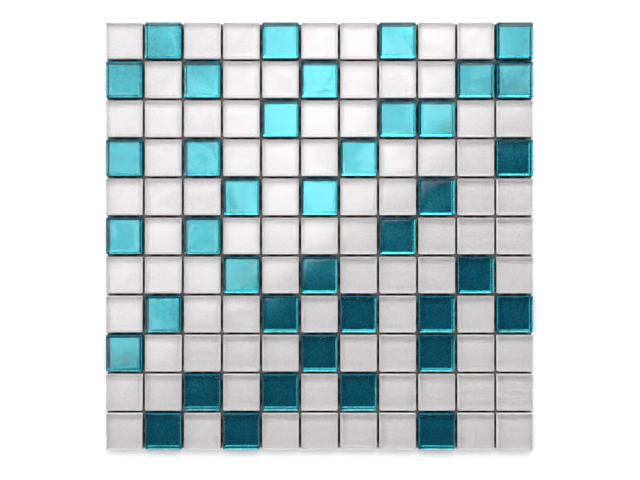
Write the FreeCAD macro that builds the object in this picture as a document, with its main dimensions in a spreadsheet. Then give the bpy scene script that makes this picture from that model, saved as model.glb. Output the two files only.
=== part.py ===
import FreeCAD, Part
import os

import Sketcher

# A square sheet of glass mosaic lying face up: rows of thick glass chips glued on a
# net of laid threads. +Z points out of the finished face, +X runs along the rows and
# +Y runs from the last row to row 1. The origin is on the floor under the middle.

# Name, value in millimetres (or a plain count) and meaning of each driving dimension.
SIZES = (
    ("chips_across", 11, "chips along each side of the sheet"),
    ("chip_side", 25.4, "side of one chip"),
    ("chip_thickness", 8.0, "thickness of one chip"),
    ("joint", 1.6, "gap between neighbouring chips"),
    ("corner_round", 1.0, "radius of a chip's corners, seen from above"),
    ("face_corner_round", 0.5, "radius of the corners of a chip's flat face"),
    ("bevel_width", 1.3, "how far the polished bevel comes in over the face"),
    ("bevel_drop", 1.6, "how far the polished bevel comes down the side"),
    ("bevel_line_inset", 0.4, "how far in the line lies where the bevel's flats meet"),
    ("bevel_line_drop", 0.8, "how far below the face that line lies"),
    ("thread_spacing", 5.0, "least distance from one thread of the net to the next"),
    ("thread_width", 0.9, "width of a flattened thread"),
    ("thread_thickness", 0.3, "thickness of a thread, and of one layer of the net"),
    ("net_inset", 1.5, "how far the net ends inside the edge of the sheet"),
)

# Numbers of the columns that hold turquoise chips, for each row from row 1 on. Columns
# are counted from the left. All other chips are white.
TURQUOISE_COLUMN_NUMBERS = (
    (2, 5, 8, 11),
    (1, 3, 6, 10, 11),
    (5, 8, 9),
    (1, 3, 7, 11),
    (4, 6, 9),
    (1, 3, 8),
    (4, 6, 10),
    (2, 5, 7, 9, 11),
    (1, 6, 9),
    (3, 5, 7),
    (2, 4, 9),
)

# Sizes that follow from the driving dimensions, as expressions on the spreadsheet.
PITCH = "(sizes.chip_side + sizes.joint)"
SHEET_SIDE = f"(sizes.chips_across * {PITCH} - sizes.joint)"
NET_SIDE = f"({SHEET_SIDE} - 2 * sizes.net_inset)"
NET_THICKNESS = "(2 * sizes.thread_thickness)"
THREAD_SPAN = f"({NET_SIDE} - sizes.thread_width)"
THREAD_COUNT = f"(floor({THREAD_SPAN} / sizes.thread_spacing) + 1)"

# Each corner of a chip is drawn with two flats, which meet halfway round its radius.
# This is the share of the radius that lies outside that meeting point.
OUTER_SHARE = "(1 - cos(45 deg))"


def fill_sizes(doc):
    """Spreadsheet of the driving dimensions, each with an alias."""
    sheet = doc.addObject("Spreadsheet::Sheet", "sizes")
    for line, (name, value, meaning) in enumerate(SIZES, start=1):
        sheet.set(f"A{line}", name)
        sheet.set(f"B{line}", str(value))
        sheet.set(f"C{line}", meaning)
        sheet.setAlias(f"B{line}", name)
    doc.recompute()
    return sheet


def origin_feature(body, role):
    """Plane or axis of a body's own origin."""
    return next(f for f in body.Origin.OriginFeatures if f.Role == role)


def add_outline(body, name, plane, corners, height="0"):
    """Sketch of a closed outline, whose corners and height are expressions."""
    sketch = body.newObject("Sketcher::SketchObject", name)
    sketch.AttachmentSupport = [(origin_feature(body, plane), "")]
    sketch.MapMode = "FlatFace"
    sketch.setExpression("AttachmentOffset.Base.z", height)
    points = [
        FreeCAD.Vector(sketch.evalExpression(x), sketch.evalExpression(y), 0)
        for x, y in corners
    ]
    for start, end in zip(points, points[1:] + points[:1]):
        sketch.addGeometry(Part.LineSegment(start, end))
    for line, (x, y) in enumerate(corners):
        following = (line + 1) % len(corners)
        sketch.addConstraint(Sketcher.Constraint("Coincident", line, 2, following, 1))
        for kind, place, value in (
            ("DistanceX", x, points[line].x),
            ("DistanceY", y, points[line].y),
        ):
            index = sketch.addConstraint(Sketcher.Constraint(kind, -1, 1, line, 1, value))
            sketch.setExpression(f"Constraints[{index}]", place)
    return sketch


def chip_outline(inset, radius):
    """Corners of a square inside a chip's outline, each rounded with two flats."""
    side = f"(sizes.chip_side / 2 - {inset})"
    round_start = f"({side} - {radius})"
    round_middle = f"({side} - {radius} * {OUTER_SHARE})"
    corners = []
    for x_sign, y_sign in ((1, 1), (-1, 1), (-1, -1), (1, -1)):
        flats = [(side, round_start), (round_middle, round_middle), (round_start, side)]
        if x_sign != y_sign:
            flats.reverse()
        corners += [(f"{x_sign} * {x}", f"{y_sign} * {y}") for x, y in flats]
    return corners


def make_chip(doc):
    """One glass chip: a square block with a polished bevel in two flats round its face."""
    body = doc.addObject("PartDesign::Body", "chip")
    side_top = "(sizes.chip_thickness - sizes.bevel_drop)"
    bevel_line = "(sizes.chip_thickness - sizes.bevel_line_drop)"
    line_radius = "((sizes.corner_round + sizes.face_corner_round) / 2)"
    levels = (
        ("back", "0", "0", "sizes.corner_round"),
        ("side_top", side_top, "0", "sizes.corner_round"),
        ("bevel_line", bevel_line, "sizes.bevel_line_inset", line_radius),
        ("face", "sizes.chip_thickness", "sizes.bevel_width", "sizes.face_corner_round"),
    )
    outlines = [
        add_outline(body, name, "XY_Plane", chip_outline(inset, radius), height)
        for name, height, inset, radius in levels
    ]
    block = body.newObject("PartDesign::AdditiveLoft", "glass_block")
    block.Profile = outlines[0]
    block.Sections = outlines[1:]
    block.Ruled = True
    return body


def place_chip(doc, chip, name, column):
    """Copy of the chip in a column of its row."""
    copy = doc.addObject("App::Link", name)
    copy.LinkedObject = chip
    from_middle = f"({column} - (sizes.chips_across + 1) / 2)"
    copy.setExpression("Placement.Base.x", f"{from_middle} * {PITCH}")
    return copy


def make_row(doc, chip, row, colour, columns):
    """All chips of one colour in one row, glued on the net."""
    name = f"row_{row:02d}_{colour}_chips"
    chips = doc.addObject("Part::Compound", name)
    chips.Label = name
    chips.Links = [
        place_chip(doc, chip, f"row_{row:02d}_{colour}_chip_{column:02d}", column)
        for column in columns
    ]
    from_middle = f"((sizes.chips_across + 1) / 2 - {row})"
    chips.setExpression("Placement.Base.y", f"{from_middle} * {PITCH}")
    chips.setExpression("Placement.Base.z", NET_THICKNESS)
    return chips


def make_rows(doc, chip, sizes):
    """Every row of the sheet, its white and its turquoise chips apart."""
    columns = range(1, int(sizes.chips_across) + 1)
    nodes = []
    for row in columns:
        pattern = TURQUOISE_COLUMN_NUMBERS[(row - 1) % len(TURQUOISE_COLUMN_NUMBERS)]
        turquoise = [column for column in columns if column in pattern]
        white = [column for column in columns if column not in pattern]
        nodes.append(make_row(doc, chip, row, "white", white))
        nodes.append(make_row(doc, chip, row, "turquoise", turquoise))
    return nodes


def thread_section():
    """Corners of the section of the first thread, which lies along the net's edge."""
    outer = f"(-{NET_SIDE} / 2)"
    inner = f"({outer} + sizes.thread_width)"
    top = "sizes.thread_thickness"
    return [(outer, "0"), (inner, "0"), (inner, top), (outer, top)]


def make_threads(doc, name):
    """One layer of the net: parallel threads that run along the body's Y axis."""
    body = doc.addObject("PartDesign::Body", name)
    body.Label = name
    body.AllowCompound = True
    thread = body.newObject("PartDesign::Pad", f"{name}_first")
    thread.Profile = add_outline(body, f"{name}_section", "XZ_Plane", thread_section())
    thread.Midplane = True
    thread.setExpression("Length", NET_SIDE)
    doc.recompute()
    layer = body.newObject("PartDesign::LinearPattern", f"{name}_layer")
    layer.Originals = [thread]
    layer.Direction = (origin_feature(body, "X_Axis"), [""])
    layer.Mode = "Extent"
    layer.setExpression("Length", THREAD_SPAN)
    layer.setExpression("Occurrences", THREAD_COUNT)
    body.Tip = layer
    return body


def make_net(doc):
    """The two layers of the net: the warp on the floor and the weft across it."""
    warp = make_threads(doc, "net_warp_threads")
    weft = make_threads(doc, "net_weft_threads")
    weft.Placement.Rotation = FreeCAD.Rotation(FreeCAD.Vector(0, 0, 1), 90)
    weft.setExpression("Placement.Base.z", "sizes.thread_thickness")
    return [warp, weft]


def check(doc, nodes):
    """Stops with a message if an object failed or a sub-part has no sound solid."""
    for thing in doc.Objects:
        if "Invalid" in thing.State or "Error" in thing.State:
            raise RuntimeError(f"{thing.Label} failed: {thing.State}")
    for node in nodes:
        shape = node.Shape
        if shape.isNull() or not shape.isValid() or not shape.Solids:
            raise RuntimeError(f"{node.Label} has no valid solid")


def main():
    doc = FreeCAD.newDocument("mosaic_tile_sheet")
    sizes = fill_sizes(doc)
    chip = make_chip(doc)
    nodes = make_rows(doc, chip, sizes) + make_net(doc)
    doc.recompute()
    check(doc, nodes)
    os.makedirs("parts", exist_ok=True)
    for node in nodes:
        node.Shape.exportStep(f"parts/{node.Label}.step")
        print(f"{node.Label}: {len(node.Shape.Solids)} solids, {node.Shape.Volume:.1f} mm3")


main()
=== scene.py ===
"""Glass mosaic sheet: thick crystal-glass chips in pearl white and turquoise on a net."""
import math

import bmesh
import bpy
from bpy.props import FloatProperty, IntProperty, PointerProperty, StringProperty
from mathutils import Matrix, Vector


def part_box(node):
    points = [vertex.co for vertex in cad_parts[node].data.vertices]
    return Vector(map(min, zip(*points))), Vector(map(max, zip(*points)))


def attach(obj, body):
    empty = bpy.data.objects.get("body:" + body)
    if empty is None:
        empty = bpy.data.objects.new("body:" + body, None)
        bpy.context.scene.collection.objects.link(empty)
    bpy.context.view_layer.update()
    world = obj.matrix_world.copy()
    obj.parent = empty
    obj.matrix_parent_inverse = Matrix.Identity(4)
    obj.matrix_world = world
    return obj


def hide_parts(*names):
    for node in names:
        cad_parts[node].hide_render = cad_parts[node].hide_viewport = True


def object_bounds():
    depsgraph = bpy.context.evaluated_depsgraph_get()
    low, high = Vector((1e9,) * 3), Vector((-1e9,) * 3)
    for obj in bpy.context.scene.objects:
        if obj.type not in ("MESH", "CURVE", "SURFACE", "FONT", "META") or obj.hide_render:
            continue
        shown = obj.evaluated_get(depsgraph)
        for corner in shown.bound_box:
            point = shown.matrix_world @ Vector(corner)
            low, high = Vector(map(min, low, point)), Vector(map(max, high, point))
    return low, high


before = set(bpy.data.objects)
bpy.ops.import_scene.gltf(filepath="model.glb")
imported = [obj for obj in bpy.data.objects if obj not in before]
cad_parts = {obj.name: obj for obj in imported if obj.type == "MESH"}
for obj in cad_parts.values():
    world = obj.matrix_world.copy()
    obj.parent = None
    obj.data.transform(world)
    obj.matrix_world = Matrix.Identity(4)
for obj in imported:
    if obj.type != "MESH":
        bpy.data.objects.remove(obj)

bl_info = {
    "name": "Glass Mosaic Sheet",
    "version": (1, 0, 0),
    "blender": (4, 5, 0),
    "location": "View3D > Sidebar > Mosaic",
    "description": "Dresses a mosaic sheet with glass chips, colour coats, a glued net and a studio",
    "category": "Add Mesh",
}

MM = 0.001

# Corners nearer than this to a level, in metres, lie on it
TOUCHING = 1e-6

BODY = "root"
COLOURS = ("white", "turquoise")
CHIP_NODES = {
    colour: sorted(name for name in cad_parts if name.endswith(f"{colour}_chips"))
    for colour in COLOURS
}
WARP_NODE = "net_warp_threads"
WEFT_NODE = "net_weft_threads"


# Sizes read from the frame


def across_levels(node):
    """Different X coordinates of a node's corners in metres, to the micrometre, lowest first."""
    return sorted({round(v.co.x, 6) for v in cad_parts[node].data.vertices})


def row_centre(node):
    """Middle of a row of chips across the row, in metres."""
    low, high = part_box(node)
    return (low.y + high.y) / 2


def chip_sizes():
    """Sizes of one chip and the distance between chips, read from the first rows."""
    first, second = CHIP_NODES["white"][:2]
    low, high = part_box(first)
    corners = [v.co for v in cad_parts[first].data.vertices]
    side_corners = [c for c in corners if abs(c.y - high.y) < TOUCHING]
    side_top = max(c.z for c in side_corners)
    side_end = max(c.x for c in side_corners if abs(c.z - low.z) < TOUCHING)
    face_end = max(c.y for c in corners if abs(c.z - high.z) < TOUCHING)
    side = high.y - low.y
    pitch = row_centre(first) - row_centre(second)
    return {
        "side": side,
        "back": low.z,
        "face": high.z,
        "bevel_drop": high.z - side_top,
        "bevel_width": high.y - face_end,
        "corner": high.x - side_end,
        "pitch": pitch,
        "joint": pitch - side,
    }


CHIP = chip_sizes()
SHEET_LOW, SHEET_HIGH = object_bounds()
CHIPS_ACROSS = round((SHEET_HIGH.x - SHEET_LOW.x + CHIP["joint"]) / CHIP["pitch"])


def chip_centres(colour):
    """Middle of each chip of a colour, on its back, row by row."""
    centres = []
    for node in CHIP_NODES[colour]:
        columns = {
            math.floor((v.co.x - SHEET_LOW.x + CHIP["joint"] / 2) / CHIP["pitch"])
            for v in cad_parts[node].data.vertices
        }
        for column in sorted(columns):
            x = SHEET_LOW.x + column * CHIP["pitch"] + CHIP["side"] / 2
            centres.append(Vector((x, row_centre(node), CHIP["back"])))
    return centres


# Small helpers


def linear(hex_colour):
    """Linear RGBA of an sRGB hex colour such as #33AACC."""
    channels = [int(hex_colour[i : i + 2], 16) / 255 for i in (1, 3, 5)]
    return [
        c / 12.92 if c <= 0.04045 else ((c + 0.055) / 1.055) ** 2.4 for c in channels
    ] + [1.0]


def add_node(tree, kind, inputs=None, **settings):
    """Node of a kind with its settings, whose inputs get values or links from sockets.

    An input is given by its name, or by its number where several share a name.
    """
    node = tree.nodes.new(kind)
    for name, value in settings.items():
        setattr(node, name, value)
    for name, given in (inputs or {}).items():
        if isinstance(given, bpy.types.NodeSocket):
            tree.links.new(given, node.inputs[name])
        else:
            node.inputs[name].default_value = given
    return node


def new_material(name):
    """Material with an empty node tree, and that tree."""
    material = bpy.data.materials.new(name)
    material.use_nodes = True
    material.node_tree.nodes.clear()
    return material, material.node_tree


def new_object(name, mesh):
    """Object of a mesh, in the scene and at the origin."""
    made = bpy.data.objects.new(name, mesh)
    bpy.context.scene.collection.objects.link(made)
    return made


def mesh_of(made, name):
    """Mesh of what a bmesh holds, which is freed."""
    mesh = bpy.data.meshes.new(name)
    made.to_mesh(mesh)
    made.free()
    return mesh


def join_rings(made, rings):
    """Faces between each ring of vertices and the next."""
    for lower, upper in zip(rings, rings[1:]):
        for i in range(len(lower)):
            following = (i + 1) % len(lower)
            made.faces.new((lower[i], lower[following], upper[following], upper[i]))


def geometry_tree(name, inputs):
    """Geometry Nodes tree with named inputs, and the outputs of its input node."""
    tree = bpy.data.node_groups.new(name, "GeometryNodeTree")
    for label, kind in inputs:
        tree.interface.new_socket(label, in_out="INPUT", socket_type=f"NodeSocket{kind}")
    tree.interface.new_socket("Result", in_out="OUTPUT", socket_type="NodeSocketGeometry")
    return tree, add_node(tree, "NodeGroupInput").outputs


def grown(name, mesh, tree, inputs):
    """Plain mesh object of what a Geometry Nodes tree makes of a mesh."""
    base = new_object(f"{name}_base", mesh)
    modifier = base.modifiers.new(tree.name, "NODES")
    modifier.node_group = tree
    for item in tree.interface.items_tree:
        if item.item_type == "SOCKET" and item.in_out == "INPUT" and item.name in inputs:
            modifier[item.identifier] = inputs[item.name]
    evaluated = base.evaluated_get(bpy.context.evaluated_depsgraph_get())
    result = bpy.data.meshes.new_from_object(evaluated)
    result.name = name
    bpy.data.objects.remove(base)
    return new_object(name, result)


# Materials


def crystal_glass():
    """Clear soda-lime glass, pressed and fire-polished: bright, hard reflections."""
    material, tree = new_material("crystal_glass")
    shader = add_node(
        tree,
        "ShaderNodeBsdfPrincipled",
        {"Base Color": (1, 1, 1, 1), "Roughness": 0.0, "IOR": 1.52, "Transmission Weight": 1.0},
    )
    add_node(tree, "ShaderNodeOutputMaterial", {"Surface": shader.outputs[0]})
    return material


# Specks of mica and flakes of metal are about 0.1 mm across, too fine to show. They are
# drawn about ten times coarser.
MICA_SPECK = 1.2 * MM
METAL_FLAKE = 1.0 * MM

# How much lighter and darker the specks and flakes are, and the share of the flakes
MICA_CONTRAST = 0.07
FLAKE_CONTRAST = 0.6
FLAKE_SHARE = 0.7

# Levels of the noise that are the darkest and the lightest specks
SPECK_LEVELS = (0.25, 0.75)


def grained_lacquer(tree, colour, speck, contrast, **values):
    """Principled shader of a lacquer whose colour gets lighter and darker from speck to speck."""
    place = add_node(tree, "ShaderNodeTexCoord")
    specks = add_node(
        tree,
        "ShaderNodeTexNoise",
        {"Vector": place.outputs["Object"], "Scale": 1 / speck, "Detail": 2.0, "Roughness": 0.6},
    )
    factor = add_node(
        tree,
        "ShaderNodeMapRange",
        {
            "Value": specks.outputs[0],
            "From Min": SPECK_LEVELS[0],
            "From Max": SPECK_LEVELS[1],
            "To Min": 1 - contrast,
            "To Max": 1 + contrast,
        },
    )
    tinted = add_node(
        tree, "ShaderNodeVectorMath",
        {0: linear(colour)[:3], "Scale": factor.outputs[0]}, operation="SCALE",
    )
    named = {name.replace("_", " "): value for name, value in values.items()}
    return add_node(
        tree, "ShaderNodeBsdfPrincipled", {"Base Color": tinted.outputs[0], **named}
    )


def pearl_white_enamel(colour):
    """Fired enamel with pearl mica on a chip's back: a faint grain and a satin pearl gloss."""
    material, tree = new_material("pearl_white_enamel")
    shader = grained_lacquer(tree, colour, MICA_SPECK, MICA_CONTRAST, Roughness=0.15, IOR=1.5)
    add_node(tree, "ShaderNodeOutputMaterial", {"Surface": shader.outputs[0]})
    return material


def turquoise_flake_enamel(lacquer_colour, flake_colour):
    """Deep blue-green lacquer full of bright metal flakes: it lights up where it mirrors a lamp."""
    material, tree = new_material("turquoise_flake_enamel")
    lacquer = grained_lacquer(tree, lacquer_colour, METAL_FLAKE, FLAKE_CONTRAST, Roughness=0.4)
    lacquer.inputs["Specular IOR Level"].default_value = 0.0
    flakes = grained_lacquer(
        tree, flake_colour, METAL_FLAKE, FLAKE_CONTRAST, Metallic=1.0, Roughness=0.1
    )
    both = add_node(
        tree, "ShaderNodeMixShader", {0: FLAKE_SHARE, 1: lacquer.outputs[0], 2: flakes.outputs[0]}
    )
    add_node(tree, "ShaderNodeOutputMaterial", {"Surface": both.outputs[0]})
    return material


def mottled(name, patch, dark, light, roughness):
    """Dull material whose colour wanders between a dark and a light one in patches."""
    material, tree = new_material(name)
    place = add_node(tree, "ShaderNodeTexCoord")
    patches = add_node(
        tree,
        "ShaderNodeTexNoise",
        {"Vector": place.outputs["Object"], "Scale": 1 / patch, "Detail": 3.0},
    )
    colour = add_node(
        tree, "ShaderNodeMix", {0: patches.outputs[0], 6: linear(dark), 7: linear(light)},
        data_type="RGBA",
    )
    shader = add_node(
        tree, "ShaderNodeBsdfPrincipled",
        {"Base Color": colour.outputs[2], "Roughness": roughness},
    )
    add_node(tree, "ShaderNodeOutputMaterial", {"Surface": shader.outputs[0]})
    return material


def dried_adhesive():
    """Tan dispersion adhesive, dried to a dull, slightly spotted skin."""
    return mottled(
        "dried_tile_adhesive", patch=4 * MM, dark="#705F4F", light="#968776", roughness=0.7
    )


def glass_fibre():
    """Glass-fibre yarn stiffened with resin and yellowed by adhesive: dull straw, in patches."""
    return mottled(
        "resin_coated_glass_fibre", patch=9 * MM, dark="#B5A184", light="#D9D0BD", roughness=0.6
    )


def joint_dust_and_shade():
    """Dust, dried adhesive and painted shade in the joints: black painted shade on the walls, dark
    grey painted shade and brown adhesive on the floor.
    """
    material, tree = new_material("joint_dust_and_shade")
    patch = 6 * MM
    wander = 5 * MM
    dab_fade = (3 * MM, 5 * MM)
    end_fade = (9 * MM, 14 * MM)
    # Heights over which the walls turn to black painted shade
    painted_wall_shade = (CHIP["back"] + 0.2 * MM, CHIP["back"] + 1.5 * MM)
    along = add_node(tree, "ShaderNodeAttribute", attribute_name="along")
    place = add_node(tree, "ShaderNodeTexCoord")
    patches = add_node(
        tree, "ShaderNodeTexNoise", {"Vector": place.outputs["Object"], "Scale": 1 / patch}
    )
    from_middle = add_node(
        tree, "ShaderNodeMath", {0: patches.outputs[0], 1: wander, 2: along.outputs["Fac"]},
        operation="MULTIPLY_ADD",
    )
    height = add_node(tree, "ShaderNodeSeparateXYZ", {0: place.outputs["Object"]})
    # Dark grey painted shade on the joint's floor, which turns paler to the joint's ends as painted
    # light, brown adhesive in the middle and black painted shade up the walls
    colour = linear("#3E3734")
    for measure, fade, share, interpolation, hex_colour in (
        (from_middle.outputs[0], end_fade, (0.0, 1.0), "SMOOTHSTEP", "#8E8786"),
        (from_middle.outputs[0], dab_fade, (1.0, 0.0), "SMOOTHSTEP", "#6E4E33"),
        (height.outputs["Z"], painted_wall_shade, (0.0, 1.0), "LINEAR", "#231E1C"),
    ):
        factor = add_node(
            tree,
            "ShaderNodeMapRange",
            {
                "Value": measure,
                "From Min": fade[0],
                "From Max": fade[1],
                "To Min": share[0],
                "To Max": share[1],
            },
            interpolation_type=interpolation,
        )
        mixed = add_node(
            tree, "ShaderNodeMix", {0: factor.outputs[0], 6: colour, 7: linear(hex_colour)},
            data_type="RGBA",
        )
        colour = mixed.outputs[2]
    shader = add_node(
        tree,
        "ShaderNodeBsdfPrincipled",
        {"Base Color": colour, "Roughness": 0.9, "Specular IOR Level": 0.2},
    )
    add_node(tree, "ShaderNodeOutputMaterial", {"Surface": shader.outputs[0]})
    return material


# Chips


def rounded_square(half, radius, corner_steps, side_steps):
    """Points of a square with round corners, anticlockwise, as many for every size."""
    arcs = []
    for quarter in range(4):
        turn = quarter * math.pi / 2
        x = math.copysign(half - radius, math.cos(turn + math.pi / 4))
        y = math.copysign(half - radius, math.sin(turn + math.pi / 4))
        angles = [turn + step / corner_steps * math.pi / 2 for step in range(corner_steps + 1)]
        arcs.append([Vector((x + radius * math.cos(a), y + radius * math.sin(a))) for a in angles])
    points = []
    for arc, following in zip(arcs, arcs[1:] + arcs[:1]):
        points += arc
        points += [arc[-1].lerp(following[0], step / side_steps) for step in range(1, side_steps)]
    return points


def edge_profile(settings):
    """Inset and height of each ring of a chip, from its back to where its face is flat."""
    steep, shallow = settings.edge_steep, settings.edge_shallow
    flattest, crease = settings.pillow_slope, settings.crease
    crease_slopes = (shallow, (shallow + flattest) / 2, flattest)
    crease_width = len(crease_slopes) * crease
    bevel_width = settings.edge_width - settings.draft - settings.rim_width - crease_width
    strips = [(settings.rim_width, settings.rim_slope)]
    for step in range(settings.edge_steps):
        share = (step + 0.5) / settings.edge_steps
        strips.append((bevel_width / settings.edge_steps, steep + (shallow - steep) * share))
    strips += [(crease, slope) for slope in crease_slopes]
    for step in range(settings.pillow_steps):
        share = (step + 0.5) / settings.pillow_steps
        strips.append((settings.pillow_width / settings.pillow_steps, flattest * (1 - share)))
    rises = [width * math.tan(slope) for width, slope in strips]
    points = [(0.0, 0.0), (settings.draft, CHIP["face"] - CHIP["back"] - sum(rises))]
    for (width, _), rise in zip(strips, rises):
        inset, level = points[-1]
        points.append((inset + width, level + rise))
    return points


def chip_mesh(settings):
    """One chip: its sides, a polished bevel, and back and face in rings to their middle."""
    half = CHIP["side"] / 2
    height = CHIP["face"] - CHIP["back"]
    profile = edge_profile(settings)
    rings = []
    for step in range(1, settings.back_steps):
        share = step / settings.back_steps
        rings.append((half * (1 - share), 0.0, CHIP["corner"] * share))
    first_side = len(rings)
    for inset, level in profile:
        share = min(1.0, inset / settings.edge_width)
        rings.append((inset, level, CHIP["corner"] * (1 - share) + settings.face_corner * share))
    inner = half - profile[-1][0]
    for step in range(1, settings.face_steps):
        share = 1 - step / settings.face_steps
        rings.append((half - inner * share, height, settings.face_corner * share))

    made = bmesh.new()
    loops = []
    for inset, level, corner in rings:
        points = rounded_square(half - inset, corner, settings.corner_steps, settings.side_steps)
        loops.append([made.verts.new((x, y, level)) for x, y in points])
    join_rings(made, loops)
    for loop, level in ((loops[0][::-1], 0.0), (loops[-1], height)):
        middle = made.verts.new((0, 0, level))
        for i in range(len(loop)):
            made.faces.new((loop[i], loop[(i + 1) % len(loop)], middle))
    for face in made.faces:
        face.smooth = True
    # Only the edge between the back and the sides is sharp
    bottom_edge = loops[first_side]
    for vertex in bottom_edge:
        for edge in vertex.link_edges:
            edge.smooth = edge.other_vert(vertex) not in bottom_edge
    return mesh_of(made, "chip")


def wave_offset(tree, given, position):
    """Offset that lifts the back and sinks the face of each chip by its own soft waves."""
    wave_place = add_node(
        tree, "GeometryNodeInputNamedAttribute", {"Name": "wave_place"}, data_type="FLOAT_VECTOR"
    )
    shifted = add_node(
        tree, "ShaderNodeVectorMath", {0: position.outputs[0], 1: wave_place.outputs[0]},
        operation="ADD",
    )
    frequency = add_node(
        tree, "ShaderNodeMath", {0: 1.0, 1: given["Wave Length"]}, operation="DIVIDE"
    )
    noise = add_node(
        tree,
        "ShaderNodeTexNoise",
        {"Vector": shifted.outputs[0], "Scale": frequency.outputs[0], "Detail": 0.0},
    )
    wave = add_node(
        tree, "ShaderNodeMath", {0: noise.outputs[0], 1: given["Wave Height"]},
        operation="MULTIPLY",
    )
    parts = add_node(tree, "ShaderNodeSeparateXYZ", {0: position.outputs[0]})
    rise = add_node(
        tree,
        "ShaderNodeMapRange",
        {
            "Value": parts.outputs["Z"],
            "From Min": given["Back"],
            "From Max": given["Face"],
            "To Min": given["Back Wave"],
            "To Max": -1.0,
        },
    )
    risen = add_node(
        tree, "ShaderNodeMath", {0: wave.outputs[0], 1: rise.outputs[0]}, operation="MULTIPLY"
    )
    return add_node(tree, "ShaderNodeCombineXYZ", {"Z": risen.outputs[0]})


def chip_tree():
    """Geometry Nodes that set a chip on every point, each a little uneven."""
    tree, given = geometry_tree(
        "chips_on_points",
        (
            ("Points", "Geometry"),
            ("Chip", "Object"),
            ("Wave Height", "Float"),
            ("Wave Length", "Float"),
            ("Back Wave", "Float"),
            ("Back", "Float"),
            ("Face", "Float"),
            ("Coat Top", "Float"),
            ("Seed", "Int"),
            ("Glass", "Material"),
            ("Coat", "Material"),
        ),
    )
    chip = add_node(tree, "GeometryNodeObjectInfo", {"Object": given["Chip"]})
    # Every chip takes its waves from a place of its own in the noise
    own_place = add_node(
        tree, "FunctionNodeRandomValue",
        {0: (-1, -1, -1), 1: (1, 1, 1), "Seed": given["Seed"]}, data_type="FLOAT_VECTOR",
    )
    kept = add_node(
        tree,
        "GeometryNodeStoreNamedAttribute",
        {"Geometry": given["Points"], "Name": "wave_place", "Value": own_place.outputs[0]},
        data_type="FLOAT_VECTOR",
    )
    placed = add_node(
        tree, "GeometryNodeInstanceOnPoints",
        {"Points": kept.outputs[0], "Instance": chip.outputs["Geometry"]},
    )
    real = add_node(tree, "GeometryNodeRealizeInstances", {0: placed.outputs[0]})
    position = add_node(tree, "GeometryNodeInputPosition")
    offset = wave_offset(tree, given, position)
    waved = add_node(
        tree, "GeometryNodeSetPosition", {"Geometry": real.outputs[0], "Offset": offset.outputs[0]}
    )
    parts = add_node(tree, "ShaderNodeSeparateXYZ", {0: position.outputs[0]})
    below = add_node(
        tree, "FunctionNodeCompare", {0: parts.outputs["Z"], 1: given["Coat Top"]},
        data_type="FLOAT", operation="LESS_THAN",
    )
    glazed = add_node(
        tree, "GeometryNodeSetMaterial",
        {"Geometry": waved.outputs[0], "Material": given["Glass"]},
    )
    coated = add_node(
        tree,
        "GeometryNodeSetMaterial",
        {
            "Geometry": glazed.outputs[0],
            "Selection": below.outputs[0],
            "Material": given["Coat"],
        },
    )
    add_node(tree, "NodeGroupOutput", {0: coated.outputs[0]})
    return tree


class ChipSettings(bpy.types.PropertyGroup):
    """Shape, unevenness and colours of the glass chips."""

    face_corner: FloatProperty(
        name="Face Corner", description="Corner radius of the flat face",
        default=0.5 * MM, unit="LENGTH",
    )
    edge_width: FloatProperty(
        name="Edge Width", description="How far the smooth bevel comes in over the face",
        default=CHIP["bevel_width"] + 0.45 * MM, unit="LENGTH",
    )
    draft: FloatProperty(
        name="Draft", description="How much narrower each pressed side is at its top",
        default=0.1 * MM, unit="LENGTH",
    )
    rim_width: FloatProperty(
        name="Rim Width", description="Steep outermost strip of the bevel",
        default=0.25 * MM, unit="LENGTH",
    )
    rim_slope: FloatProperty(
        name="Rim Slope", description="Slope of that strip",
        default=math.radians(75), unit="ROTATION",
    )
    edge_steps: IntProperty(
        name="Edge Steps", description="Faces across the polished bevel", default=4,
    )
    edge_steep: FloatProperty(
        name="Edge Steep", description="Slope of the bevel where it meets the rim",
        default=math.radians(57), unit="ROTATION",
    )
    edge_shallow: FloatProperty(
        name="Edge Shallow", description="Slope of the bevel where it meets the face",
        default=math.radians(40), unit="ROTATION",
    )
    crease: FloatProperty(
        name="Crease", description="Width of each of the three strips that lead over to the face",
        default=0.03 * MM, unit="LENGTH",
    )
    pillow_width: FloatProperty(
        name="Pillow Width", description="Zone of the face inside the bevel that falls away",
        default=2.2 * MM, unit="LENGTH",
    )
    pillow_slope: FloatProperty(
        name="Pillow Slope", description="Slope of that zone where it meets the bevel",
        default=math.radians(1.6), unit="ROTATION",
    )
    pillow_steps: IntProperty(
        name="Pillow Steps", description="Faces across the zone that falls away", default=3,
    )
    corner_steps: IntProperty(
        name="Corner Steps", description="Faces round each corner", default=3,
    )
    side_steps: IntProperty(
        name="Side Steps", description="Faces along each side between the corners", default=4,
    )
    face_steps: IntProperty(
        name="Face Steps", description="Rings of faces from the edge to the middle", default=5,
    )
    back_steps: IntProperty(
        name="Back Steps", description="Rings of faces from the back's edge to its middle",
        default=4,
    )
    back_wave: FloatProperty(
        name="Back Wave", description="Unevenness of the back as a share of the face's",
        default=0.8, subtype="FACTOR",
    )
    wave_height: FloatProperty(
        name="Wave Height", description="Unevenness of the pressed face",
        default=0.25 * MM, unit="LENGTH",
    )
    wave_length: FloatProperty(
        name="Wave Length", description="Distance between high and low spots of the face",
        default=22 * MM, unit="LENGTH",
    )
    coat_margin: FloatProperty(
        name="Coat Margin", description="How far the coat of the sides ends below the bevel",
        default=0.32 * MM, unit="LENGTH",
    )
    seed: IntProperty(
        name="Seed", description="Choice of the random waves", default=3,
    )
    white_enamel: StringProperty(
        name="White Enamel", description="sRGB hex colour of the white chips' enamel",
        default="#FAF7F8",
    )
    turquoise_lacquer: StringProperty(
        name="Turquoise Lacquer", description="sRGB hex colour of the turquoise chips' lacquer",
        default="#1EA4CC",
    )
    turquoise_flakes: StringProperty(
        name="Turquoise Flakes", description="sRGB hex colour of the metal flakes in that lacquer",
        default="#33989E",
    )


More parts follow.
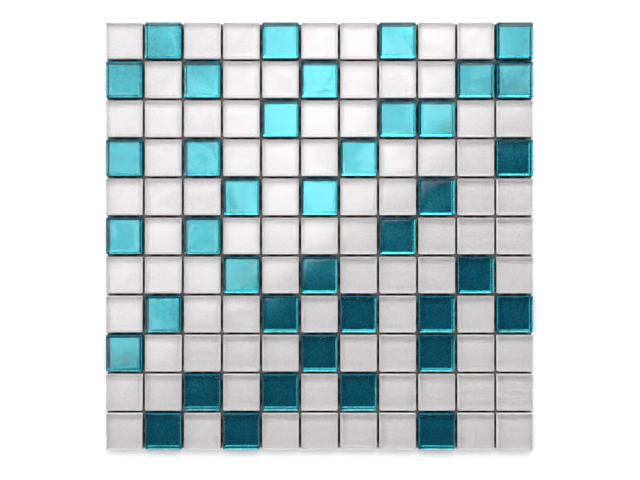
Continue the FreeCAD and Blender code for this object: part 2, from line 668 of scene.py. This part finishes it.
class MOSAIC_OT_glass_chips(bpy.types.Operator):
    """Makes the white and the turquoise glass chips in place of the plain ones"""

    bl_idname = "mosaic.glass_chips"
    bl_label = "Glass Chips"

    def execute(self, context):
        settings = context.scene.mosaic_chips
        coats = {
            "white": pearl_white_enamel(settings.white_enamel),
            "turquoise": turquoise_flake_enamel(
                settings.turquoise_lacquer, settings.turquoise_flakes
            ),
        }
        master = new_object("chip", chip_mesh(settings))
        tree = chip_tree()
        inputs = {
            "Chip": master,
            "Wave Height": settings.wave_height,
            "Wave Length": settings.wave_length,
            "Back Wave": settings.back_wave,
            "Back": CHIP["back"],
            "Face": CHIP["face"],
            "Coat Top": CHIP["face"] - CHIP["bevel_drop"] - settings.coat_margin,
            "Glass": crystal_glass(),
        }
        for number, colour in enumerate(COLOURS):
            points = bpy.data.meshes.new(f"{colour}_points")
            points.from_pydata(chip_centres(colour), [], [])
            inputs["Seed"] = settings.seed + number
            inputs["Coat"] = coats[colour]
            chips = grown(f"{colour}_glass_chips", points, tree, inputs)
            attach(chips, BODY)
            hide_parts(*CHIP_NODES[colour])
        bpy.data.objects.remove(master)
        return {"FINISHED"}


# Joints and net


def channel_mesh(settings):
    """Lining of one joint between two chips: a thin channel, open at the top, that carries the
    joint's dust and painted shade.
    """
    reach = CHIP["joint"] / 2 - settings.air
    thick = settings.film
    low = CHIP["back"]
    top = CHIP["face"] - CHIP["bevel_drop"] - settings.lining_drop
    section = [
        (-reach, top), (-reach, low), (reach, low), (reach, top),
        (reach - thick, top), (reach - thick, low + thick),
        (thick - reach, low + thick), (thick - reach, top),
    ]
    length = CHIP["side"] - CHIP["corner"]
    made = bmesh.new()
    along = made.verts.layers.float.new("along")
    loops = []
    for step in range(settings.lining_steps + 1):
        share = step / settings.lining_steps - 0.5
        loop = [made.verts.new((x, share * length, z)) for x, z in section]
        for vertex in loop:
            vertex[along] = abs(share) * length
        loops.append(loop)
    join_rings(made, loops)
    made.faces.new(reversed(loops[0]))
    made.faces.new(loops[-1])
    bmesh.ops.recalc_face_normals(made, faces=made.faces)
    return mesh_of(made, "channel")


def spot_mesh(settings):
    """Spot of dried adhesive on the net between four chips: a low, round-edged cushion."""
    corner_steps, side_steps = 3, 2
    made = bmesh.new()
    loops = []
    for step in range(settings.spot_rings + 1):
        turn = step / settings.spot_rings * math.pi / 2
        share = settings.spot_top + (1 - settings.spot_top) * math.cos(turn)
        half = settings.spot_side / 2 * share
        level = CHIP["back"] + settings.spot_height * math.sin(turn)
        points = rounded_square(half, half * settings.spot_corner, corner_steps, side_steps)
        loops.append([made.verts.new((x, y, level)) for x, y in points])
    join_rings(made, loops)
    made.faces.new(reversed(loops[0]))
    made.faces.new(loops[-1])
    for face in made.faces:
        face.smooth = True
    return mesh_of(made, "spot")


def copies_tree():
    """Geometry Nodes that set copies of an object on a grid, and if asked quarter-turned ones."""
    tree, given = geometry_tree(
        "copies_on_grid",
        (
            ("Geometry", "Geometry"),
            ("Copied", "Object"),
            ("Columns", "Int"),
            ("Rows", "Int"),
            ("Pitch", "Float"),
            ("Turned Too", "Bool"),
            ("Unevenness", "Float"),
            ("Lump Size", "Float"),
            ("Material", "Material"),
        ),
    )
    copied = add_node(tree, "GeometryNodeObjectInfo", {"Object": given["Copied"]})
    sides = []
    for count in ("Columns", "Rows"):
        gaps = add_node(tree, "ShaderNodeMath", {0: given[count], 1: 1.0}, operation="SUBTRACT")
        side = add_node(
            tree, "ShaderNodeMath", {0: gaps.outputs[0], 1: given["Pitch"]}, operation="MULTIPLY"
        )
        sides.append(side.outputs[0])
    grid = add_node(
        tree,
        "GeometryNodeMeshGrid",
        {
            "Size X": sides[0],
            "Size Y": sides[1],
            "Vertices X": given["Columns"],
            "Vertices Y": given["Rows"],
        },
    )
    upright = add_node(
        tree, "GeometryNodeInstanceOnPoints",
        {"Points": grid.outputs["Mesh"], "Instance": copied.outputs["Geometry"]},
    )
    level = add_node(
        tree, "GeometryNodeTransform",
        {"Geometry": upright.outputs[0], "Rotation": (0, 0, math.pi / 2)},
    )
    both = add_node(tree, "GeometryNodeJoinGeometry")
    tree.links.new(upright.outputs[0], both.inputs[0])
    tree.links.new(level.outputs[0], both.inputs[0])
    chosen = add_node(
        tree,
        "GeometryNodeSwitch",
        {"Switch": given["Turned Too"], "False": upright.outputs[0], "True": both.outputs[0]},
        input_type="GEOMETRY",
    )
    real = add_node(tree, "GeometryNodeRealizeInstances", {0: chosen.outputs[0]})
    frequency = add_node(
        tree, "ShaderNodeMath", {0: 1.0, 1: given["Lump Size"]}, operation="DIVIDE"
    )
    noise = add_node(tree, "ShaderNodeTexNoise", {"Scale": frequency.outputs[0]})
    centred = add_node(
        tree, "ShaderNodeMath", {0: noise.outputs[0], 1: 0.5}, operation="SUBTRACT"
    )
    lump = add_node(
        tree, "ShaderNodeMath", {0: centred.outputs[0], 1: given["Unevenness"]},
        operation="MULTIPLY",
    )
    normal = add_node(tree, "GeometryNodeInputNormal")
    offset = add_node(
        tree, "ShaderNodeVectorMath", {0: normal.outputs[0], "Scale": lump.outputs[0]},
        operation="SCALE",
    )
    uneven = add_node(
        tree, "GeometryNodeSetPosition", {"Geometry": real.outputs[0], "Offset": offset.outputs[0]}
    )
    dressed = add_node(
        tree, "GeometryNodeSetMaterial",
        {"Geometry": uneven.outputs[0], "Material": given["Material"]},
    )
    add_node(tree, "NodeGroupOutput", {0: dressed.outputs[0]})
    return tree


def straight_threads(tree, given):
    """Curves of parallel threads along Y, spread about the middle."""
    ends = []
    for share in (-0.5, 0.5):
        y = add_node(tree, "ShaderNodeMath", {0: given["Length"], 1: share}, operation="MULTIPLY")
        ends.append(add_node(tree, "ShaderNodeCombineXYZ", {"Y": y.outputs[0]}))
    line = add_node(
        tree, "GeometryNodeCurvePrimitiveLine",
        {"Start": ends[0].outputs[0], "End": ends[1].outputs[0]},
    )
    stepped = add_node(
        tree, "GeometryNodeResampleCurve", {"Curve": line.outputs[0], "Count": given["Steps"]}
    )
    gaps = add_node(tree, "ShaderNodeMath", {0: given["Threads"], 1: 1.0}, operation="SUBTRACT")
    span = add_node(
        tree, "ShaderNodeMath", {0: gaps.outputs[0], 1: given["Spacing"]}, operation="MULTIPLY"
    )
    first_x = add_node(tree, "ShaderNodeMath", {0: span.outputs[0], 1: -0.5}, operation="MULTIPLY")
    first = add_node(tree, "ShaderNodeCombineXYZ", {"X": first_x.outputs[0]})
    apart = add_node(tree, "ShaderNodeCombineXYZ", {"X": given["Spacing"]})
    points = add_node(
        tree,
        "GeometryNodeMeshLine",
        {
            "Count": given["Threads"],
            "Start Location": first.outputs[0],
            "Offset": apart.outputs[0],
        },
    )
    copies = add_node(
        tree, "GeometryNodeInstanceOnPoints",
        {"Points": points.outputs[0], "Instance": stepped.outputs[0]},
    )
    return add_node(tree, "GeometryNodeRealizeInstances", {0: copies.outputs[0]})


def weave_offset(tree, given):
    """Offset that lets a thread pass over and under the threads that it crosses."""
    position = add_node(tree, "GeometryNodeInputPosition")
    parts = add_node(tree, "ShaderNodeSeparateXYZ", {0: position.outputs[0]})
    height = parts.outputs["X"]
    for operation, second in (
        ("ADD", parts.outputs["Y"]),
        ("DIVIDE", given["Spacing"]),
        ("MULTIPLY", math.pi),
        ("COSINE", 0.0),
        ("MULTIPLY", given["Swing"]),
        ("ADD", given["Middle Height"]),
    ):
        step = add_node(tree, "ShaderNodeMath", {0: height, 1: second}, operation=operation)
        height = step.outputs[0]
    return add_node(tree, "ShaderNodeCombineXYZ", {"Z": height})


def thread_tree():
    """Geometry Nodes that lay a row of threads, which pass over and under the others."""
    tree, given = geometry_tree(
        "woven_threads",
        (
            ("Geometry", "Geometry"),
            ("Threads", "Int"),
            ("Spacing", "Float"),
            ("Length", "Float"),
            ("Steps", "Int"),
            ("Width", "Float"),
            ("Thickness", "Float"),
            ("Middle Height", "Float"),
            ("Swing", "Float"),
            ("Sides", "Int"),
            ("Turn", "Float"),
            ("Material", "Material"),
        ),
    )
    straight = straight_threads(tree, given)
    offset = weave_offset(tree, given)
    woven = add_node(
        tree, "GeometryNodeSetPosition",
        {"Geometry": straight.outputs[0], "Offset": offset.outputs[0]},
    )
    upright = add_node(
        tree, "GeometryNodeSetCurveNormal", {"Curve": woven.outputs[0]}, mode="Z_UP"
    )
    # The circle is one unit across, so that its scale is the thread's width and thickness
    circle = add_node(
        tree, "GeometryNodeCurvePrimitiveCircle", {"Radius": 0.5, "Resolution": given["Sides"]}
    )
    flat = add_node(
        tree, "ShaderNodeCombineXYZ", {"X": given["Width"], "Y": given["Thickness"], "Z": 1.0}
    )
    section = add_node(
        tree, "GeometryNodeTransform", {"Geometry": circle.outputs[0], "Scale": flat.outputs[0]}
    )
    solid = add_node(
        tree,
        "GeometryNodeCurveToMesh",
        {"Curve": upright.outputs[0], "Profile Curve": section.outputs[0], "Fill Caps": True},
    )
    turn = add_node(tree, "ShaderNodeCombineXYZ", {"Z": given["Turn"]})
    turned = add_node(
        tree, "GeometryNodeTransform", {"Geometry": solid.outputs[0], "Rotation": turn.outputs[0]}
    )
    dressed = add_node(
        tree, "GeometryNodeSetMaterial",
        {"Geometry": turned.outputs[0], "Material": given["Material"]},
    )
    add_node(tree, "NodeGroupOutput", {0: dressed.outputs[0]})
    return tree


class NetSettings(bpy.types.PropertyGroup):
    """The net under the chips, and the dust and painted shade that line the joints."""

    air: FloatProperty(
        # The lining is the joint's dust and its painted shade
        name="Air", description="Air between a chip's side and the dust that lines the joint",
        default=0.03 * MM, unit="LENGTH",
    )
    film: FloatProperty(
        # Thickness of the lining of dust and painted shade
        name="Film", description="Thickness of the dust that lines the joint",
        default=0.05 * MM, unit="LENGTH",
    )
    lining_drop: FloatProperty(
        name="Lining Drop", description="How far the lining ends below the polished bevel",
        default=3.0 * MM, unit="LENGTH",
    )
    lining_steps: IntProperty(
        name="Lining Steps", description="Faces along the lining of one joint", default=8,
    )
    spot_side: FloatProperty(
        name="Spot Side", description="Width of an adhesive spot where two joints cross",
        default=2.1 * MM, unit="LENGTH",
    )
    spot_height: FloatProperty(
        name="Spot Height", description="Height of an adhesive spot over the net",
        default=1.2 * MM, unit="LENGTH",
    )
    spot_top: FloatProperty(
        name="Spot Top", description="Width of a spot's flat top as a share of its foot",
        default=0.35, subtype="FACTOR",
    )
    spot_corner: FloatProperty(
        name="Spot Corner", description="Corner radius of a spot as a share of half its width",
        default=0.6, subtype="FACTOR",
    )
    spot_rings: IntProperty(
        name="Spot Rings", description="Rings of faces up an adhesive spot", default=5,
    )
    lumps: FloatProperty(
        name="Lumps", description="Unevenness of the adhesive spots",
        default=0.3 * MM, unit="LENGTH",
    )
    lump_size: FloatProperty(
        name="Lump Size", description="Distance between lumps of the adhesive spots",
        default=3 * MM, unit="LENGTH",
    )
    thread_clearance: FloatProperty(
        name="Thread Clearance", description="Air above and below each thread where two cross",
        default=0.01 * MM, unit="LENGTH",
    )
    thread_sides: IntProperty(
        name="Thread Sides", description="Faces round a thread", default=6,
    )
    steps_per_crossing: IntProperty(
        name="Steps per Crossing", description="Faces along a thread from one crossing to the next",
        default=2,
    )


class MOSAIC_OT_joint_lining(bpy.types.Operator):
    """Lines the joints with dust and painted shade, and sets spots of dried adhesive where they
    cross
    """

    bl_idname = "mosaic.joint_lining"
    bl_label = "Joint Lining"

    def execute(self, context):
        settings = context.scene.mosaic_net
        tree = copies_tree()
        joints = CHIPS_ACROSS - 1
        for name, mesh, rows, turned_too, uneven, material in (
            # The lining's dark colour is painted shade in the joints, together with their dust
            ("joint_dust_lining", channel_mesh(settings), CHIPS_ACROSS, True, 0.0, joint_dust_and_shade()),
            ("adhesive_spots", spot_mesh(settings), joints, False, settings.lumps, dried_adhesive()),
        ):
            master = new_object(f"{name}_master", mesh)
            inputs = {
                "Copied": master,
                "Columns": joints,
                "Rows": rows,
                "Pitch": CHIP["pitch"],
                "Turned Too": turned_too,
                "Unevenness": uneven,
                "Lump Size": settings.lump_size,
                "Material": material,
            }
            made = grown(name, bpy.data.meshes.new(name), tree, inputs)
            bpy.data.objects.remove(master)
            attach(made, BODY)
        return {"FINISHED"}


class MOSAIC_OT_net(bpy.types.Operator):
    """Weaves the warp and the weft of the backing net in place of the plain threads"""

    bl_idname = "mosaic.net"
    bl_label = "Backing Net"

    def execute(self, context):
        settings = context.scene.mosaic_net
        tree = thread_tree()
        low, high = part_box(WARP_NODE)
        thickness = high.z - low.z
        edges = across_levels(WARP_NODE)
        count = len(edges) // 2
        inputs = {
            "Threads": count,
            "Spacing": edges[2] - edges[0],
            "Length": high.y - low.y,
            "Steps": (count - 1) * settings.steps_per_crossing + 1,
            "Width": edges[1] - edges[0],
            "Thickness": thickness - 2 * settings.thread_clearance,
            "Middle Height": thickness,
            "Sides": settings.thread_sides,
            "Material": glass_fibre(),
        }
        for name, node, turn, side in (
            ("woven_warp_threads", WARP_NODE, 0.0, 1),
            ("woven_weft_threads", WEFT_NODE, math.pi / 2, -1),
        ):
            inputs["Turn"] = turn
            inputs["Swing"] = side * thickness / 2
            threads = grown(name, bpy.data.meshes.new(name), tree, inputs)
            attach(threads, BODY)
            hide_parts(node)
        return {"FINISHED"}


# Studio


# Width of the picture, and how far the sheet's middle lies right of and above its middle,
# in pixels
PICTURE_WIDTH = 640
PICTURE_SHIFT = Vector((-0.5, 4.0))

# Width of the camera's sensor in millimetres
SENSOR_WIDTH = 36.0

# Lamps behind the soft box's cloth: x, y and reach in metres, and extra brightness
LAMPS = (
    (0.065, 0.15, 0.4, 0.8),
    (-0.36, 0.02, 0.16, 0.5),
    (-0.28, 0.36, 0.2, 0.4),
    (0.12, 0.75, 0.5, 4.4),
)

# Levels of the noise that are the darkest and the brightest folds of the cloth, and how
# far the folds wander
FOLD_LEVELS = (0.35, 0.65)
FOLD_WANDER = 1.5

# Angles from the zenith, in degrees, over which the pale walls fade in from the floor's
# side and from the ceiling's side
WALL_FADES = ((67, 58), (42, 51))


class StudioSettings(bpy.types.PropertyGroup):
    """Camera, light and floor."""

    camera_height: FloatProperty(
        name="Camera Height", description="From the sheet's face to the camera",
        default=0.72, unit="LENGTH",
    )
    sheet_pixels: FloatProperty(
        name="Sheet Pixels", description="Width of the sheet in the picture",
        default=429.25, subtype="PIXEL",
    )
    box_height: FloatProperty(
        name="Box Height", description="From the floor to the soft box", default=1.0, unit="LENGTH",
    )
    box_width: FloatProperty(
        name="Box Width", description="Width of the soft box", default=1.5, unit="LENGTH",
    )
    box_depth: FloatProperty(
        name="Box Depth", description="Depth of the soft box", default=1.1, unit="LENGTH",
    )
    box_turn: FloatProperty(
        name="Box Turn", description="Angle of the soft box's near edge to the rows of chips",
        default=math.radians(35), unit="ROTATION",
    )
    box_offset: FloatProperty(
        name="Box Offset", description="How far the soft box is pushed along its near edge",
        default=0.15, unit="LENGTH",
    )
    box_edge: FloatProperty(
        name="Box Edge", description="Where on the sheet its near edge is mirrored, from the middle",
        default=-0.016, unit="LENGTH",
    )
    box_fade: FloatProperty(
        name="Box Fade", description="How far in from its near edge the soft box fades",
        default=0.05, unit="LENGTH",
    )
    fold_size: FloatProperty(
        name="Fold Size", description="Distance between folds in the soft box's cloth",
        default=0.09, unit="LENGTH",
    )
    fold_contrast: FloatProperty(
        name="Fold Contrast", description="How much brighter and darker the folds are",
        default=0.35, subtype="FACTOR",
    )
    box_radiance: FloatProperty(
        name="Box Radiance", description="Brightness of the soft box away from its lamps",
        default=1.75,
    )
    wall_light: FloatProperty(
        name="Wall Light", description="Brightness of the pale walls high round the sheet",
        default=2.25,
    )
    ceiling_light: FloatProperty(
        name="Ceiling Light", description="Brightness of the dark ceiling", default=0.03,
    )
    floor_reach: FloatProperty(
        name="Floor Reach", description="From the sheet to the floor's edge", default=12.0,
        unit="LENGTH",
    )
    floor_colour: StringProperty(
        name="Floor Colour", description="sRGB hex colour of the floor", default="#F7F7F7",
    )


def add_floor(settings):
    """Floor of matt white board under the sheet: pale and without gloss."""
    made = bmesh.new()
    bmesh.ops.create_grid(made, x_segments=1, y_segments=1, size=settings.floor_reach)
    floor = new_object("floor", mesh_of(made, "floor"))
    material, tree = new_material("matt_white_board")
    shader = add_node(
        tree,
        "ShaderNodeBsdfPrincipled",
        {
            "Base Color": linear(settings.floor_colour),
            "Roughness": 0.9,
            "Specular IOR Level": 0.1,
        },
    )
    add_node(tree, "ShaderNodeOutputMaterial", {"Surface": shader.outputs[0]})
    floor.data.materials.append(material)


def cloth_glow(cloth, settings, inward, rim):
    """Brightness over the soft box's cloth: lamps behind it, folds, and a fade at the near edge."""
    position = add_node(cloth, "ShaderNodeNewGeometry").outputs["Position"]
    glow = 1.0
    for x, y, reach, strength in LAMPS:
        distance = add_node(
            cloth, "ShaderNodeVectorMath",
            {0: position, 1: (x, y, settings.box_height)}, operation="DISTANCE",
        )
        spot = add_node(
            cloth,
            "ShaderNodeMapRange",
            {
                "Value": distance.outputs["Value"],
                "From Min": 0.0,
                "From Max": reach,
                "To Min": strength,
                "To Max": 0.0,
            },
            interpolation_type="SMOOTHSTEP",
        )
        both = add_node(cloth, "ShaderNodeMath", {0: glow, 1: spot.outputs[0]}, operation="ADD")
        glow = both.outputs[0]
    across = add_node(
        cloth, "ShaderNodeVectorMath", {0: position, 1: inward}, operation="DOT_PRODUCT"
    )
    fade = {
        "Value": across.outputs["Value"],
        "From Min": rim,
        "From Max": rim + settings.box_fade,
    }
    folds = add_node(
        cloth,
        "ShaderNodeTexNoise",
        {
            "Vector": position,
            "Scale": 1 / settings.fold_size,
            "Detail": 0.0,
            "Distortion": FOLD_WANDER,
        },
    )
    fold = {
        "Value": folds.outputs[0],
        "From Min": FOLD_LEVELS[0],
        "From Max": FOLD_LEVELS[1],
        "To Min": 1 - settings.fold_contrast,
        "To Max": 1 + settings.fold_contrast,
    }
    for inputs in (fade, fold):
        share = add_node(cloth, "ShaderNodeMapRange", inputs, interpolation_type="SMOOTHSTEP")
        product = add_node(
            cloth, "ShaderNodeMath", {0: glow, 1: share.outputs[0]}, operation="MULTIPLY"
        )
        glow = product.outputs[0]
    return glow


def add_soft_box(scene, settings):
    """Large soft box above the upper left, whose near edge the sheet mirrors."""
    along = Vector((math.cos(settings.box_turn), math.sin(settings.box_turn), 0))
    inward = Vector((-along.y, along.x, 0))
    # A rim this far out is mirrored to the camera at the place that box_edge gives
    rim = settings.box_edge * (1 + settings.box_height / settings.camera_height)
    depth, width = settings.box_depth, settings.box_width
    light = bpy.data.lights.new("soft_box", "AREA")
    light.shape = "RECTANGLE"
    light.size = width
    light.size_y = depth
    light.energy = settings.box_radiance * math.pi * width * depth
    light.use_nodes = True
    cloth = light.node_tree
    glow = cloth_glow(cloth, settings, inward, rim)
    cloth.links.new(glow, cloth.nodes["Emission"].inputs["Strength"])
    box = bpy.data.objects.new("soft_box", light)
    scene.collection.objects.link(box)
    box.location = inward * (rim + depth / 2) + along * settings.box_offset
    box.location.z = settings.box_height
    box.rotation_euler = (0, 0, settings.box_turn)
    box.visible_camera = False


def add_room(scene, settings):
    """Dim room whose walls are pale high up all round."""
    world = bpy.data.worlds.new("dim_room")
    scene.world = world
    world.use_nodes = True
    tree = world.node_tree
    place = add_node(tree, "ShaderNodeTexCoord")
    height = add_node(tree, "ShaderNodeSeparateXYZ", {0: place.outputs["Generated"]})
    fades = [
        add_node(
            tree,
            "ShaderNodeMapRange",
            {
                "Value": height.outputs["Z"],
                "From Min": math.cos(math.radians(start)),
                "From Max": math.cos(math.radians(end)),
            },
            interpolation_type="SMOOTHSTEP",
        )
        for start, end in WALL_FADES
    ]
    band = add_node(
        tree, "ShaderNodeMath", {0: fades[0].outputs[0], 1: fades[1].outputs[0]},
        operation="MULTIPLY",
    )
    strength = add_node(
        tree,
        "ShaderNodeMath",
        {0: band.outputs[0], 1: settings.wall_light, 2: settings.ceiling_light},
        operation="MULTIPLY_ADD",
    )
    background = tree.nodes["Background"]
    background.inputs["Color"].default_value = (1, 1, 1, 1)
    tree.links.new(strength.outputs[0], background.inputs["Strength"])


def add_camera(scene, settings):
    """Camera straight above the middle of the sheet, framed as in the picture."""
    data = bpy.data.cameras.new("camera")
    camera = bpy.data.objects.new("camera", data)
    scene.collection.objects.link(camera)
    camera.location = (0, 0, CHIP["face"] + settings.camera_height)
    side = SHEET_HIGH.x - SHEET_LOW.x
    picture = side * PICTURE_WIDTH / settings.sheet_pixels
    data.sensor_width = SENSOR_WIDTH
    data.lens = SENSOR_WIDTH * settings.camera_height / picture
    data.shift_x = -PICTURE_SHIFT.x / PICTURE_WIDTH
    data.shift_y = -PICTURE_SHIFT.y / PICTURE_WIDTH
    scene.camera = camera
    scene.view_settings.view_transform = "Standard"


class MOSAIC_OT_stage(bpy.types.Operator):
    """Sets the floor, the soft box, the room and the camera straight above the sheet"""

    bl_idname = "mosaic.stage"
    bl_label = "Studio"

    def execute(self, context):
        scene = context.scene
        settings = scene.mosaic_studio
        add_floor(settings)
        add_soft_box(scene, settings)
        add_room(scene, settings)
        add_camera(scene, settings)
        return {"FINISHED"}


class MOSAIC_PT_sheet(bpy.types.Panel):
    """Panel with the settings and the steps of the mosaic sheet"""

    bl_idname = "MOSAIC_PT_sheet"
    bl_label = "Glass Mosaic Sheet"
    bl_space_type = "VIEW_3D"
    bl_region_type = "UI"
    bl_category = "Mosaic"

    def draw(self, context):
        scene = context.scene
        for settings, operators in (
            (scene.mosaic_chips, (MOSAIC_OT_glass_chips,)),
            (scene.mosaic_net, (MOSAIC_OT_joint_lining, MOSAIC_OT_net)),
            (scene.mosaic_studio, (MOSAIC_OT_stage,)),
        ):
            box = self.layout.box()
            for name in settings.__annotations__:
                box.prop(settings, name)
            for operator in operators:
                box.operator(operator.bl_idname)


CLASSES = (
    ChipSettings,
    NetSettings,
    StudioSettings,
    MOSAIC_OT_glass_chips,
    MOSAIC_OT_joint_lining,
    MOSAIC_OT_net,
    MOSAIC_OT_stage,
    MOSAIC_PT_sheet,
)


def register():
    """Registers the classes and hangs their settings on the scene."""
    for cls in CLASSES:
        bpy.utils.register_class(cls)
    bpy.types.Scene.mosaic_chips = PointerProperty(type=ChipSettings)
    bpy.types.Scene.mosaic_net = PointerProperty(type=NetSettings)
    bpy.types.Scene.mosaic_studio = PointerProperty(type=StudioSettings)


def unregister():
    """Takes the settings and the classes away again."""
    del bpy.types.Scene.mosaic_studio
    del bpy.types.Scene.mosaic_net
    del bpy.types.Scene.mosaic_chips
    for cls in reversed(CLASSES):
        bpy.utils.unregister_class(cls)


def main():
    """Makes every piece and the studio."""
    register()
    bpy.ops.mosaic.glass_chips()
    bpy.ops.mosaic.joint_lining()
    bpy.ops.mosaic.net()
    bpy.ops.mosaic.stage()


if __name__ == "__main__":
    main()
